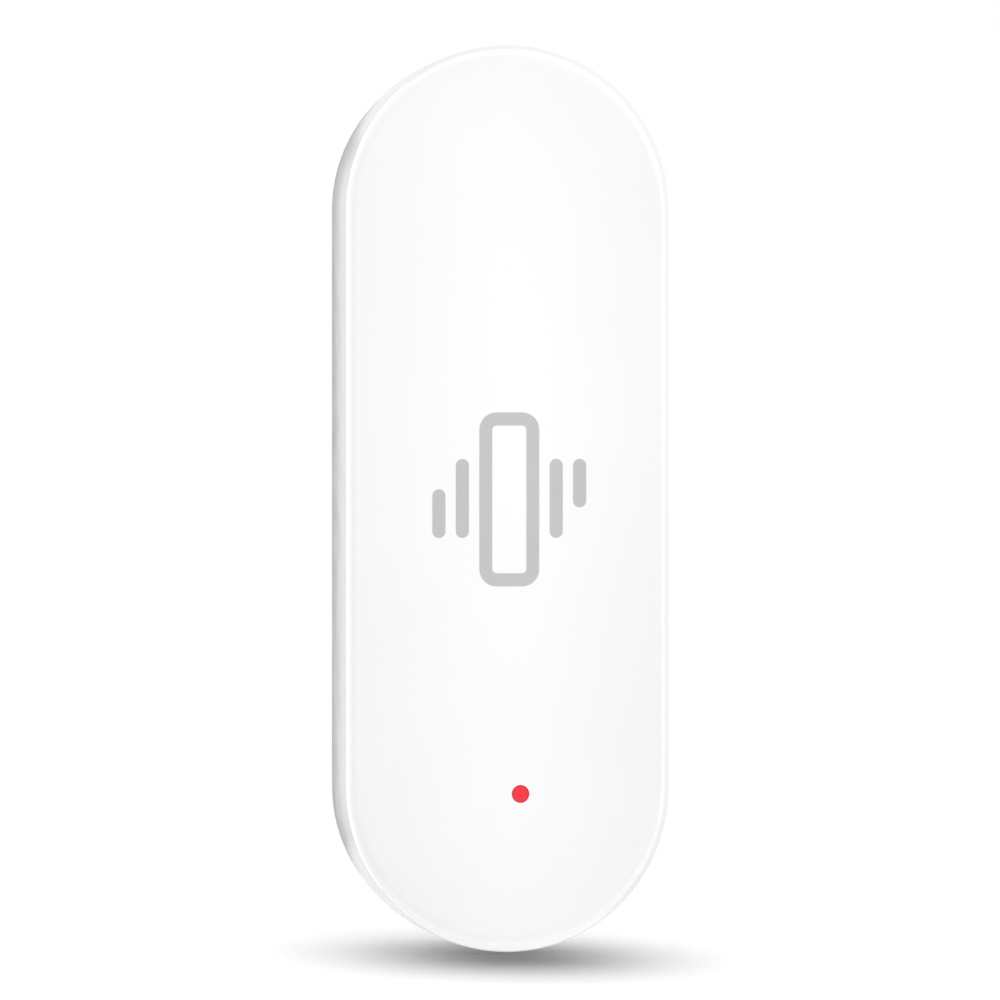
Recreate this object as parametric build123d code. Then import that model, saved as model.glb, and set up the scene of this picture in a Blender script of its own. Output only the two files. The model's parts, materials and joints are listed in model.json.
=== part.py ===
from build123d import *
import os
from math import cos, radians, sin, sqrt

# A pill-shaped vibration sensor that sticks to a door or a window. Millimetres.
# Each piece is drawn with the tag lying on its back: X across the tag, Y along it with the lamp
# towards -Y, and Z up from the surface that it sticks to. stand_up() then turns the finished
# piece upright, with its front to -Y and the centre of its adhesive face at the origin.

# The tag's width, length and depth follow from what it holds, in the chains further down.
fit_gap = 0.05              # between pieces that drop or slide into each other
overrun = 1.0               # how far a cut runs past what it cuts
quarter_turn = 90           # degrees

# Front housing: a deep tray with its mouth at the back
side_taper = 0.95           # how much further in each side stands at the back than at its widest
side_bow = 0.2              # how far the side bows out of a straight line
edge_depth = 0.85           # the rounded front edge, measured back from the face
edge_inset_side = 0.8       # the same edge, measured in from the long sides
edge_inset_end = 1.35       # and measured in from the two ends
edge_steps = 6              # sections that shape the rounded edge
back_edge_radius = 0.4
side_wall = 1.3
rim_wall = 0.8              # what is left of the side wall round the back cover
front_wall = 1.6
cavity_radius = 1.2         # inside corner between the walls and the front
front_space = 3.4           # between the board and the front wall

# Back cover: a plate let into the housing's mouth
cover_thickness = 1.5
cover_gap = 0.1
cover_bevel = 0.25
lip_height = 1.2
lip_wall = 0.8
lip_gap = 0.15
cell_rib_gap = 0.1          # between the cover's ribs and the cell
cell_rib_count = 3
cell_rib_pitch = 5.0
cell_rib_length = 12.0
cell_rib_width = 0.8
pry_radius = 4.0            # round scoop for a fingernail, in the rim and the cover
pry_depth = 1.0
pry_reach = 2.2             # how far the scoop runs in from the tag's end

# Adhesive pad, let into the back cover
pad_margin = 3.15           # from the cover's edge to the pad
pad_thickness = 0.8
pad_proud = 0.3
pad_gap = 0.15

# Snap hooks that stand on the back cover
hook_end_gap = 0.3          # from the upper hooks to where the sides start to curve
hook_width = 4.0
hook_thickness = 0.8
hook_height = 2.7
hook_gap = 0.15             # between a hook's back and the housing's wall
beak_height = 1.3           # from the cover to the beak's catching face
beak_reach = 0.45
beak_land = 0.3
catch_gap = 0.1             # round the beak in the housing's catch

# Coin cell, standard size: 20 mm across and 3.2 mm thick
cell_radius = 10.0
cell_height = 3.2
cell_cover_gap = 0.6
cell_side_gap = 0.95        # between the cell and the housing's side walls
can_wall = 0.25
can_corner = 0.35
crimp_height = 0.5
crimp_reach = 0.7
seal_wall = 0.4
seal_lip = 0.3
seal_foot = 0.3             # under the cap's rim
cap_wall = 0.25
cap_rise = 0.3
cap_slope = 0.25
shoulder_gap = 0.35         # from the separator to the cap's shoulder
separator_height = 0.1
anode_inset = 0.35          # from the cap's narrowest inside to the anode's edge

# Battery tray that holds the cell over the board
tray_floor = 0.7
tray_wall = 0.9
tray_side_gap = 0.2         # between the tray's flats and the housing
cell_gap = 0.2              # round the cell
contact_space = 0.7         # between the tray's floor and the cell
seat_width = 1.2            # ring that the cell lies on
tray_opening = 10.0         # length of wall left out on each side
wall_short = 0.8            # how far the tray's wall stops short of the cell's back
lug_reach = 0.6             # lugs that keep the cell down
lug_thickness = 0.4
lug_width = 5.0
lug_slit = 0.6
window_length = 11.0        # opening in the floor for the negative contact
window_width = 7.0
peg_radius = 0.7
peg_inset = 1.6             # from the cell's side line in to each locating peg
peg_along_share = 0.46      # of the cell's radius: from its centre to each peg along the tag

# Spring contacts
strip_thickness = 0.2
strip_bend = 0.4
minus_base_length = 3.0
minus_base_width = 5.6
minus_finger_width = 1.8
minus_finger_spread = 3.4
minus_run = 5.4             # length of a finger along the tag
minus_touch = 1.0           # flat end that bears on the cell
plus_width = 3.0
plus_height = 3.4
plus_foot = 1.8
plus_gap = 0.03             # between the leaf and the can
plus_slot_gap = 0.35        # round the leaf in the tray

# Circuit board
board_thickness = 1.0
board_gap = 0.25
rest_rib_width = 1.0        # ribs in the housing that the board rests on
rest_rib_reach = 1.0
rest_rib_shares = (-0.55, 0.0, 0.62)  # their places along the board, of its half length

# Screws that hold the board to the housing
screw_radius = 0.7
screw_end_gap = 0.4         # from the screw's end to the end of its hole
screw_hole_gap = 0.2
thread_gap = 0.02
head_radius = 1.4
head_height = 0.9
recess_length = 1.5
recess_width = 0.4
recess_depth = 0.5
boss_radius = 1.7
boss_floor = 0.6
screw_edge_gap = 0.9        # from an upper screw's head to the board's edge
screw_tray_gap = 0.4        # and to the battery tray

# Status lamp and its light guide
lamp_x = 0.92
lamp_length = 1.6
lamp_width = 0.8
lamp_base_height = 0.35
lamp_lens_length = 1.0
lamp_lens_height = 0.4
guide_radius = 0.7
guide_gap = 0.02
guide_tail_radius = 1.0
guide_flange_radius = 1.6
guide_flange_height = 0.6
guide_lamp_gap = 0.2
guide_recess = 0.04
guide_bevel = 0.08
collar_wall = 0.7
collar_height = 1.0

# Radio module
module_thickness = 0.8
castle_pitch = 1.4
castle_radius = 0.35
castle_count = 7
shield_length = 9.2
shield_side_gap = 0.8       # from the shield to the module's sides
shield_height = 1.8
shield_wall = 0.2
shield_corner = 0.6
shield_edge_gap = 0.4       # from the module's lower end to the shield
vent_radius = 0.35
vent_pitch = 1.9
vent_columns = 4
vent_rows = 3
chip_size = 5.0
chip_height = 0.85
chip_wall_gap = 0.9         # from the radio chip to the shield's wall
crystal_length = 2.5
crystal_width = 2.0
crystal_height = 0.6
crystal_wall_gap = 0.8
crystal_chip_gap = 1.3
antenna_width = 0.5
antenna_thickness = 0.1
antenna_pitch = 1.3
antenna_turns = 7
antenna_leg = 3.4
antenna_edge_gap = 0.7
antenna_shield_gap = 1.7

# Vibration sensor: a ball that rolls between two contacts in a sealed sleeve
sensor_x = -0.6
sleeve_radius = 1.6
sleeve_length = 4.6
sleeve_bore = 0.95
sensor_cap_length = 1.1
plug_cone = 0.35
ball_radius = 0.75
ball_travel = 0.3           # each way
sensor_foot_width = 2.2
sensor_foot_height = 0.7

# Pairing button, a small push switch on the board
button_x_share = 0.465      # of the board's half width
button_size = 4.5
button_height = 1.7
button_corner = 0.4
well_radius = 1.75
frame_thickness = 0.25
frame_gap = 0.02
stem_radius = 1.1
stem_height = 1.5           # above the frame
stem_bevel = 0.15
flange_radius = 1.55
flange_thickness = 0.45
press_travel = 0.25
dome_radius = 1.6
dome_reserve = 0.2          # rise left in the dome when it is pressed
dome_thickness = 0.08
dome_gap = 0.03
lead_width = 0.7
lead_thickness = 0.2
lead_length = 0.5
lead_height = 0.6
lead_pitch = 3.0

# Buffer capacitor
buffer_x_share = -0.42      # of the board's half width
buffer_length = 6.0
buffer_width = 3.2
buffer_height = 2.4
buffer_bevel = 0.2

# Small chips: a body with a metal cap on each end
small_length = 1.6
small_width = 0.8
small_height = 0.6
small_cap = 0.3
chip_pitch = 2.1            # between chips in the row under the buffer capacitor
chip_step = 1.36            # between chips one above the other

# Gaps between neighbours along the tag, from its upper end down
module_edge_gap = 0.18      # from the module's upper corners to the board's round end
module_gap = 1.9            # radio module to battery tray
button_gap = 3.05           # battery tray to pairing button
row_gap = 1.7               # pairing button to the first row of chips
sensor_gap = 0.35           # that row to the vibration sensor
lamp_gap = 1.8              # vibration sensor to the lamp's centre
boss_gap = 0.75             # the light guide's collar to the lower screw's boss
screw_end_room = 5.44       # the lower screw's centre to the board's lower end

# Heights above the surface that the tag sticks to
cover_inside = pad_proud + cover_thickness
cell_back = cover_inside + cell_cover_gap
cell_front = cell_back + cell_height
floor_back = cell_front + contact_space
board_back = floor_back + tray_floor
board_front = board_back + board_thickness
front_inside = board_front + front_space
tag_depth = front_inside + front_wall
widest_height = tag_depth - edge_depth

# Widths, from the cell out
cavity_width = 2 * (cell_radius + cell_side_gap)
tag_width = cavity_width + 2 * (side_wall + side_taper)
mouth_width = tag_width - 2 * (side_taper + rim_wall)
cover_width = mouth_width - 2 * cover_gap
pad_width = cover_width - 2 * pad_margin
board_width = cavity_width - 2 * board_gap
button_x = button_x_share * board_width / 2
buffer_x = buffer_x_share * board_width / 2

# The radio module's size, from what stands on it
shield_width = chip_wall_gap + chip_size + crystal_chip_gap + crystal_width + crystal_wall_gap
shield_width += 2 * shield_wall
module_width = shield_width + 2 * shield_side_gap
module_length = shield_edge_gap + shield_length + antenna_shield_gap + antenna_leg + antenna_edge_gap

# Distances down from the tag's upper end to the middle of each piece, and so the tag's length
tray_radius = cell_radius + cell_gap + tray_wall
collar_radius = guide_flange_radius + fit_gap + collar_wall
corner_rise = sqrt((board_width / 2 - module_edge_gap) ** 2 - (module_width / 2) ** 2)
module_down = tag_width / 2 - corner_rise + module_length / 2
cell_down = module_down + module_length / 2 + module_gap + tray_radius
button_down = cell_down + tray_radius + button_gap + button_size / 2
row_down = button_down + button_size / 2 + row_gap + small_length / 2
sensor_down = row_down + small_length / 2 + sensor_gap + sleeve_radius
lamp_down = sensor_down + sleeve_radius + lamp_gap
low_screw_down = lamp_down + collar_radius + boss_gap + boss_radius
tag_length = low_screw_down + screw_end_room + board_gap + side_wall + side_taper
straight_length = tag_length - tag_width
board_length = board_width + straight_length

# The same places, measured from the tag's middle
module_y = tag_length / 2 - module_down
cell_y = tag_length / 2 - cell_down
button_y = tag_length / 2 - button_down
row_y = tag_length / 2 - row_down
sensor_y = tag_length / 2 - sensor_down
lamp_y = tag_length / 2 - lamp_down
low_screw_y = tag_length / 2 - low_screw_down
hook_low_y = button_y
hook_high_y = straight_length / 2 - hook_width / 2 - hook_end_gap
high_screw_x = board_width / 2 - screw_edge_gap - head_radius
high_screw_y = cell_y + sqrt((tray_radius + screw_tray_gap + head_radius) ** 2 - high_screw_x ** 2)
screw_places = ((-high_screw_x, high_screw_y), (high_screw_x, high_screw_y), (0, low_screw_y))
screw_length = board_thickness + front_space - boss_floor - screw_end_gap

# Levels and a radius inside the cell
can_floor = cell_back + can_wall
crimp_top = cell_front - cap_rise
crimp_low = crimp_top - crimp_height
separator_low = crimp_low - can_wall - shoulder_gap - separator_height
seal_mouth = cell_radius - crimp_reach - seal_lip


def slot(length, width):
    """A flat slot outline with round ends, long along the tag."""
    return SlotOverall(length, width, rotation=quarter_turn)


def pill(width):
    """A slot whose round ends share their centres with the tag's own."""
    return slot(width + straight_length, width)


def raised(outline, low, high):
    """Give a flat outline its thickness between two heights."""
    return extrude(Pos(0, 0, low) * outline, high - low)


def block(x, y, size_x, size_y, low, high):
    return raised(Pos(x, y) * Rectangle(size_x, size_y), low, high)


def rod(x, y, radius, low, high):
    return raised(Pos(x, y) * Circle(radius), low, high)


def turned(x, y, points):
    """Turn an outline of (radius, height) points about an upright axis."""
    section = make_face(Plane.XZ * Polyline(*points, close=True))
    return Pos(x, y) * revolve(section, Axis.Z)


def strip(points, width, across):
    """Bend a flat spring strip along a path."""
    path = FilletPolyline(*points, radius=strip_bend)
    start = Plane(origin=path @ 0, x_dir=across, z_dir=path % 0)
    return sweep(start * Rectangle(width, strip_thickness), path=path)


def on_both_sides(piece):
    return piece + mirror(piece, Plane.YZ)


def housing_wall():
    """The tapered, bowed side wall as a solid: turned round the ends, straight between them."""
    back_half = tag_width / 2 - side_taper
    outline = Polyline(
        (tag_width / 2, widest_height), (0, widest_height), (0, pad_proud), (back_half, pad_proud)
    ) + SagittaArc((back_half, pad_proud), (tag_width / 2, widest_height), -side_bow)
    section = make_face(Plane.XZ * outline)
    end_axis = Axis((0, straight_length / 2, 0), (0, 0, 1))
    end = revolve(Pos(0, straight_length / 2) * section, end_axis, 2 * quarter_turn)
    middle = on_both_sides(extrude(section, straight_length / 2, both=True))
    wall = middle + end + mirror(end, Plane.XZ)
    return fillet(wall.edges().group_by(Axis.Z)[0], back_edge_radius)


def front_edge():
    """The rounded front edge, which reaches further in at the ends than along the sides."""
    sections = []
    for step in range(edge_steps + 1):
        turn = radians(quarter_turn * step / edge_steps)
        inset = 1 - cos(turn)
        length = tag_length - 2 * edge_inset_end * inset
        width = tag_width - 2 * edge_inset_side * inset
        height = widest_height + edge_depth * sin(turn)
        sections.append(Pos(0, 0, height) * slot(length, width))
    return loft(sections)


def pry_scoop():
    """Cut for a fingernail at the lamp end, shared by the rim and the cover."""
    start = Plane(origin=(0, -tag_length / 2 - overrun, pad_proud), z_dir=(0, 1, 0))
    round_cut = extrude(start * Circle(pry_radius), pry_reach + overrun)
    return Pos(0, 0, pry_depth - pry_radius) * round_cut


def hook_wall_x():
    return cavity_width / 2 - hook_gap


def hook_catches():
    """Pockets in the side walls for the beaks of the four hooks."""
    low = cover_inside + beak_height - catch_gap
    high = cover_inside + hook_height + catch_gap
    outer = hook_wall_x() + beak_reach + catch_gap
    size = outer - cavity_width / 2 + overrun
    catches = Part()
    for y in (hook_low_y, hook_high_y):
        catches += block(outer - size / 2, y, size, hook_width + 2 * catch_gap, low, high)
    return on_both_sides(catches)


def board_supports():
    """Screw bosses and edge ribs that the board rests on."""
    supports = Part()
    for x, y in screw_places:
        supports += rod(x, y, boss_radius, board_front, front_inside + overrun)
    reach = rest_rib_reach + overrun
    rib_x = cavity_width / 2 - rest_rib_reach + reach / 2
    for share in rest_rib_shares:
        y = share * board_length / 2
        rib = block(rib_x, y, reach, rest_rib_width, board_front, front_inside + overrun)
        supports += on_both_sides(rib)
    return supports


def guide_collar():
    """Ring that locates the light guide behind the front wall."""
    low = front_inside - collar_height
    ring = Circle(collar_radius) - Circle(collar_radius - collar_wall)
    return raised(Pos(lamp_x, lamp_y) * ring, low, front_inside + overrun)


def front_housing():
    shell = housing_wall() + front_edge()
    cavity = raised(pill(cavity_width), pad_proud - overrun, front_inside)
    cavity = fillet(cavity.edges().group_by(Axis.Z)[-1], cavity_radius)
    mouth = raised(pill(mouth_width), pad_proud - overrun, cover_inside)
    shell = shell - cavity - mouth + board_supports() + guide_collar()
    shell -= hook_catches() + pry_scoop()
    shell -= rod(lamp_x, lamp_y, guide_radius + guide_gap, front_inside - overrun, tag_depth + overrun)
    pilot_end = front_inside - boss_floor
    for x, y in screw_places:
        shell -= rod(x, y, screw_radius + thread_gap, board_front - overrun, pilot_end)
    return shell


def back_cover():
    plate = raised(pill(cover_width), pad_proud, cover_inside)
    plate = chamfer(plate.edges().group_by(Axis.Z)[0], cover_bevel)
    lip_width = cavity_width - 2 * lip_gap
    lip_outline = pill(lip_width) - pill(lip_width - 2 * lip_wall)
    lip = raised(lip_outline, cover_inside, cover_inside + lip_height)
    lip_low = hook_low_y - hook_width
    lip_high = hook_high_y + hook_width
    middle = (lip_low + lip_high) / 2
    lip -= block(0, middle, tag_width, lip_high - lip_low, cover_inside, cover_inside + lip_height)
    cover = plate + lip
    first = -cell_rib_pitch * (cell_rib_count - 1) / 2
    for number in range(cell_rib_count):
        x = first + number * cell_rib_pitch
        rib_top = cell_back - cell_rib_gap
        cover += block(x, cell_y, cell_rib_width, cell_rib_length, cover_inside, rib_top)
    cover -= raised(pill(pad_width + 2 * pad_gap), pad_proud - overrun, pad_thickness)
    return cover - pry_scoop()


def adhesive_pad():
    return raised(pill(pad_width), 0, pad_thickness)


def cover_hooks():
    """Four sprung hooks; each beak sits in its catch in the housing's wall."""
    outer = hook_wall_x()
    inner = outer - hook_thickness
    top = cover_inside + hook_height
    catch = cover_inside + beak_height
    profile = make_face(Plane.XZ * Polyline(
        (inner, cover_inside), (outer, cover_inside), (outer, catch), (outer + beak_reach, catch),
        (outer + beak_reach, catch + beak_land), (outer, top), (inner, top), close=True,
    ))
    hook = extrude(profile, hook_width / 2, both=True)
    hooks = []
    for y in (hook_low_y, hook_high_y):
        hooks += [Pos(0, y) * hook, Pos(0, y) * mirror(hook, Plane.YZ)]
    return Compound(hooks)


def cell_can():
    """Positive can: a shallow cup, crimped in over the seal."""
    inner = cell_radius - can_wall
    return turned(0, cell_y, (
        (0, cell_back), (cell_radius - can_corner, cell_back), (cell_radius, cell_back + can_corner),
        (cell_radius, crimp_low), (cell_radius - crimp_reach + can_wall, crimp_top),
        (cell_radius - crimp_reach, crimp_top - can_wall), (inner, crimp_low - can_wall),
        (inner, can_floor), (0, can_floor),
    ))


def cell_seal():
    """Insulating ring between the can and the cap, with a foot under the cap's rim."""
    outer = cell_radius - can_wall
    inner = outer - seal_wall
    return turned(0, cell_y, (
        (inner - cap_wall, can_floor), (outer, can_floor), (outer, crimp_low - can_wall),
        (cell_radius - crimp_reach, crimp_top - can_wall), (seal_mouth, crimp_top - can_wall),
        (seal_mouth, crimp_low), (inner, crimp_low - can_wall),
        (inner, can_floor + seal_foot), (inner - cap_wall, can_floor + seal_foot),
    ))


def cell_cap():
    """Negative cap: a thin stepped cup whose rim stands in the seal."""
    outer = cell_radius - can_wall - seal_wall
    rim = can_floor + seal_foot
    outside = [
        (outer, rim), (outer, crimp_low - can_wall), (seal_mouth, crimp_low),
        (seal_mouth, crimp_top - can_wall), (seal_mouth - cap_slope, cell_front), (0, cell_front),
    ]
    inside = [(0, cell_front - cap_wall), (seal_mouth - cap_slope - cap_wall, cell_front - cap_wall)]
    inside += [(radius - cap_wall, height) for radius, height in reversed(outside[:4])]
    return turned(0, cell_y, outside + inside)


def cell_cathode():
    """Pressed pellet in the can."""
    radius = cell_radius - can_wall - seal_wall - cap_wall - fit_gap
    return rod(0, cell_y, radius, can_floor, separator_low)


def cell_separator():
    radius = cell_radius - can_wall - seal_wall - cap_wall - fit_gap
    return rod(0, cell_y, radius, separator_low, separator_low + separator_height)


def cell_anode():
    """Soft metal disc under the cap."""
    radius = seal_mouth - cap_wall - anode_inset
    return rod(0, cell_y, radius, separator_low + separator_height, cell_front - cap_wall)


def tray_lugs(pocket):
    """Lugs over the cell's edge at both ends of the tray."""
    ring = Circle(tray_radius) - Circle(pocket - lug_reach)
    lug_high = cell_back - fit_gap
    lug_low = lug_high - lug_thickness
    band = Rectangle(lug_width, 2 * (tray_radius + overrun))
    lugs = raised(Pos(0, cell_y) * (ring & band), lug_low, lug_high)
    legs_outline = (Circle(tray_radius) - Circle(pocket)) & band
    return lugs + raised(Pos(0, cell_y) * legs_outline, lug_low, floor_back)


def battery_tray():
    pocket = cell_radius + cell_gap
    flats = Rectangle(cavity_width - 2 * tray_side_gap, 2 * (tray_radius + overrun))
    disc = Circle(tray_radius) & flats
    centre = Pos(0, cell_y)
    tray = raised(centre * disc, floor_back, board_back)
    seat = (Circle(pocket) - Circle(pocket - seat_width)) & flats
    tray += raised(centre * seat, cell_front, floor_back)
    wall = disc - Circle(pocket) - Rectangle(tag_width, tray_opening)
    tray += raised(centre * wall, cell_back + wall_short, floor_back)
    tray += tray_lugs(pocket)
    window = Rectangle(window_width, window_length)
    tray -= raised(centre * window, cell_front - overrun, board_back + overrun)
    for side in (-1, 1):
        slit_x = side * (lug_width + lug_slit) / 2
        slit_y = cell_y - pocket - tray_wall / 2
        tray -= block(slit_x, slit_y, lug_slit, 2 * tray_wall, cell_back - overrun, floor_back)
    leaf_y = cell_y + cell_radius
    leaf_slot = plus_width + 2 * plus_slot_gap
    tray -= block(0, leaf_y, leaf_slot, 2 * plus_foot, cell_back + wall_short, board_back + overrun)
    for x, y in tray_pegs():
        tray += rod(x, y, peg_radius, board_back, board_front)
    return tray


def tray_pegs():
    x = cell_radius - peg_inset
    along = peg_along_share * cell_radius
    return ((-x, cell_y - along), (x, cell_y + along))


def negative_contact():
    """A soldered base with two sprung fingers that bear on the cell's cap."""
    half = strip_thickness / 2
    base_y = cell_y - minus_run / 2
    base_low = board_back - strip_thickness
    contact = block(0, base_y, minus_base_width, minus_base_length, base_low, board_back)
    for side in (-1, 1):
        x = side * minus_finger_spread / 2
        contact += strip((
            (x, base_y, board_back - half), (x, base_y + minus_base_length / 2, board_back - half),
            (x, base_y + minus_run, cell_front + half),
            (x, base_y + minus_run + minus_touch, cell_front + half),
        ), minus_finger_width, (1, 0, 0))
    return contact


def positive_contact():
    """A soldered foot with a leaf that stands against the side of the can."""
    half = strip_thickness / 2
    y = cell_y + cell_radius + plus_gap + half
    return strip((
        (0, y + plus_foot, board_back - half), (0, y, board_back - half),
        (0, y, board_back - plus_height),
    ), plus_width, (1, 0, 0))


def circuit_board():
    board = raised(pill(board_width), board_back, board_front)
    for x, y in screw_places:
        board -= rod(x, y, screw_radius + screw_hole_gap, board_back - overrun, board_front + overrun)
    for x, y in tray_pegs():
        board -= rod(x, y, peg_radius + fit_gap, board_back - overrun, board_front + overrun)
    return board


def board_screws():
    """Pan-head screws with a cross recess."""
    screws = []
    for x, y in screw_places:
        screw = rod(x, y, screw_radius, board_back, board_back + screw_length)
        head = rod(x, y, head_radius, board_back - head_height, board_back)
        screw += fillet(head.edges().group_by(Axis.Z)[0], head_height / 2)
        top = board_back - head_height
        for size_x, size_y in ((recess_length, recess_width), (recess_width, recess_length)):
            screw -= block(x, y, size_x, size_y, top - overrun, top + recess_depth)
        screws.append(screw)
    return Compound(screws)


def status_led_base():
    return block(lamp_x, lamp_y, lamp_length, lamp_width, board_front, board_front + lamp_base_height)


def status_led_lens():
    low = board_front + lamp_base_height
    return block(lamp_x, lamp_y, lamp_lens_length, lamp_width, low, low + lamp_lens_height)


def light_guide():
    """Stepped red lens: a tail over the lamp, a flange behind the front wall and a round tip."""
    tail = board_front + lamp_base_height + lamp_lens_height + guide_lamp_gap
    flange = front_inside - guide_flange_height
    tip = tag_depth - guide_recess
    return turned(lamp_x, lamp_y, (
        (0, tail), (guide_tail_radius, tail), (guide_tail_radius, flange), (guide_flange_radius, flange),
        (guide_flange_radius, front_inside), (guide_radius, front_inside),
        (guide_radius, tip - guide_bevel), (guide_radius - guide_bevel, tip), (0, tip),
    ))


def radio_board():
    """Module board with half-round solder edges down both sides."""
    low = board_back - module_thickness
    board = block(0, module_y, module_width, module_length, low, board_back)
    first = module_y - module_length / 2 + castle_pitch
    for number in range(castle_count):
        for side in (-1, 1):
            y = first + number * castle_pitch
            board -= rod(side * module_width / 2, y, castle_radius, low - overrun, board_back + overrun)
    return board


def shield_y():
    return module_y - module_length / 2 + shield_edge_gap + shield_length / 2


def radio_shield():
    """Pressed can over the radio chip, vented in a grid."""
    high = board_back - module_thickness
    low = high - shield_height
    outline = RectangleRounded(shield_width, shield_length, shield_corner)
    inside = RectangleRounded(
        shield_width - 2 * shield_wall, shield_length - 2 * shield_wall, shield_corner - shield_wall
    )
    can = raised(outline, low, high)
    can = fillet(can.edges().group_by(Axis.Z)[0], shield_wall)
    can -= raised(inside, low + shield_wall, high + overrun)
    vents = GridLocations(vent_pitch, vent_pitch, vent_columns, vent_rows) * Circle(vent_radius)
    can -= raised(Sketch() + vents, low - overrun, low + shield_wall + overrun)
    return Pos(0, shield_y()) * can


def radio_chip():
    top = board_back - module_thickness
    x = chip_wall_gap + shield_wall + (chip_size - shield_width) / 2
    return block(x, shield_y(), chip_size, chip_size, top - chip_height, top)


def radio_crystal():
    top = board_back - module_thickness
    x = (shield_width - crystal_width) / 2 - shield_wall - crystal_wall_gap
    return block(x, shield_y(), crystal_width, crystal_length, top - crystal_height, top)


def radio_antenna():
    """Zigzag antenna track along the module's upper end."""
    high = board_back - module_thickness
    low = high - antenna_thickness
    top_y = module_y + module_length / 2 - antenna_edge_gap
    middle_y = top_y - antenna_leg / 2
    first = -antenna_pitch * antenna_turns / 2
    antenna = Part()
    for number in range(antenna_turns + 1):
        x = first + number * antenna_pitch
        antenna += block(x, middle_y, antenna_width, antenna_leg, low, high)
        if number < antenna_turns:
            end_y = middle_y + (antenna_leg - antenna_width) / 2 * (-1) ** number
            length = antenna_pitch + antenna_width
            antenna += block(x + antenna_pitch / 2, end_y, length, antenna_width, low, high)
    return antenna


def sensor_axis():
    """Places a piece turned about Z on the sensor's own axis, which lies along X."""
    return Pos(sensor_x, sensor_y, board_back - sleeve_radius) * Rot(0, quarter_turn, 0)


def sensor_sleeve():
    half = sleeve_length / 2
    return sensor_axis() * turned(0, 0, (
        (sleeve_bore, -half), (sleeve_radius, -half), (sleeve_radius, half), (sleeve_bore, half)
    ))


def sensor_end_caps():
    """Contact plugs with a flange over each end of the sleeve and a foot on the board."""
    half = sleeve_length / 2
    plug_face = ball_radius + ball_travel + fit_gap
    plug = turned(0, 0, (
        (0, plug_face + plug_cone), (sleeve_bore - fit_gap, plug_face),
        (sleeve_bore - fit_gap, half), (sleeve_radius, half),
        (sleeve_radius, half + sensor_cap_length), (0, half + sensor_cap_length),
    ))
    cap = sensor_axis() * plug
    foot_x = sensor_x + half + sensor_cap_length / 2
    low = board_back - sensor_foot_height
    cap += block(foot_x, sensor_y, sensor_cap_length, sensor_foot_width, low, board_back)
    mirrored = mirror(cap, Plane(origin=(sensor_x, 0, 0), z_dir=(1, 0, 0)))
    return Compound([cap, mirrored])


def sensor_ball():
    return Pos(sensor_x, sensor_y, board_back - sleeve_radius) * Sphere(ball_radius)


def button_top():
    return board_back - button_height


def well_floor():
    rise = press_travel + dome_reserve
    return button_top() + frame_gap + flange_thickness + dome_gap + dome_thickness + rise


def button_base():
    """Switch body with the well that the dome and the plunger's flange sit in."""
    outline = RectangleRounded(button_size, button_size, button_corner)
    base = Pos(button_x, button_y) * raised(outline, button_top(), board_back)
    return base - rod(button_x, button_y, well_radius, button_top() - overrun, well_floor())


def button_frame():
    """Thin steel plate that keeps the plunger in."""
    outline = RectangleRounded(button_size, button_size, button_corner) - Circle(stem_radius + fit_gap)
    return Pos(button_x, button_y) * raised(outline, button_top() - frame_thickness, button_top())


def button_plunger():
    flange_back = button_top() + frame_gap
    tip = button_top() - frame_thickness - stem_height
    return turned(button_x, button_y, (
        (0, tip), (stem_radius - stem_bevel, tip), (stem_radius, tip + stem_bevel),
        (stem_radius, flange_back), (flange_radius, flange_back),
        (flange_radius, flange_back + flange_thickness), (0, flange_back + flange_thickness),
    ))


def button_dome():
    """Sprung steel dome that clicks under the plunger: part of a thin ball."""
    rise = press_travel + dome_reserve
    inner = (dome_radius ** 2 + rise ** 2) / (2 * rise)
    ball = Sphere(inner + dome_thickness) - Sphere(inner)
    crest = well_floor() - rise
    dome = Pos(button_x, button_y, crest + inner) * ball
    return dome & rod(button_x, button_y, dome_radius, crest - dome_thickness, well_floor())


def button_terminals():
    """Four bent leads from the switch's sides down to the board."""
    leads = []
    for side in (-1, 1):
        for end in (-1, 1):
            x = button_x + side * (button_size + lead_thickness) / 2
            y = button_y + end * lead_pitch / 2
            riser = block(x, y, lead_thickness, lead_width, board_back - lead_height, board_back)
            foot_x = button_x + side * (button_size + lead_length) / 2
            low = board_back - lead_thickness
            leads.append(riser + block(foot_x, y, lead_length, lead_width, low, board_back))
    return Compound(leads)


def buffer_capacitor():
    low = board_back - buffer_height
    body = block(buffer_x, button_y, buffer_length, buffer_width, low, board_back)
    return chamfer(body.edges().group_by(Axis.Z)[0], buffer_bevel)


def beside_sensor():
    """Halfway from the vibration sensor's end to the board's edge."""
    return (sensor_x + sleeve_length / 2 + sensor_cap_length + board_width / 2) / 2


def capacitor_places():
    beside_module = (module_width + board_width) / 4
    places = [(buffer_x - chip_pitch, row_y, quarter_turn), (buffer_x, row_y, quarter_turn)]
    places += [(side * beside_module, module_y, quarter_turn) for side in (-1, 1)]
    places += [(beside_sensor(), sensor_y + side * chip_step, 0) for side in (-1, 1)]
    return places + [(0, lamp_y - chip_step, 0)]


def resistor_places():
    return [
        (buffer_x + chip_pitch, row_y, quarter_turn), (beside_sensor(), lamp_y - chip_step, 0),
        (-beside_sensor(), sensor_y, 0), (-beside_sensor(), lamp_y, 0),
    ]


def small_bodies(places):
    low = board_back - small_height
    body = block(0, 0, small_length - 2 * small_cap, small_width, low, board_back)
    return Compound([Pos(x, y) * Rot(0, 0, turn) * body for x, y, turn in places])


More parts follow.
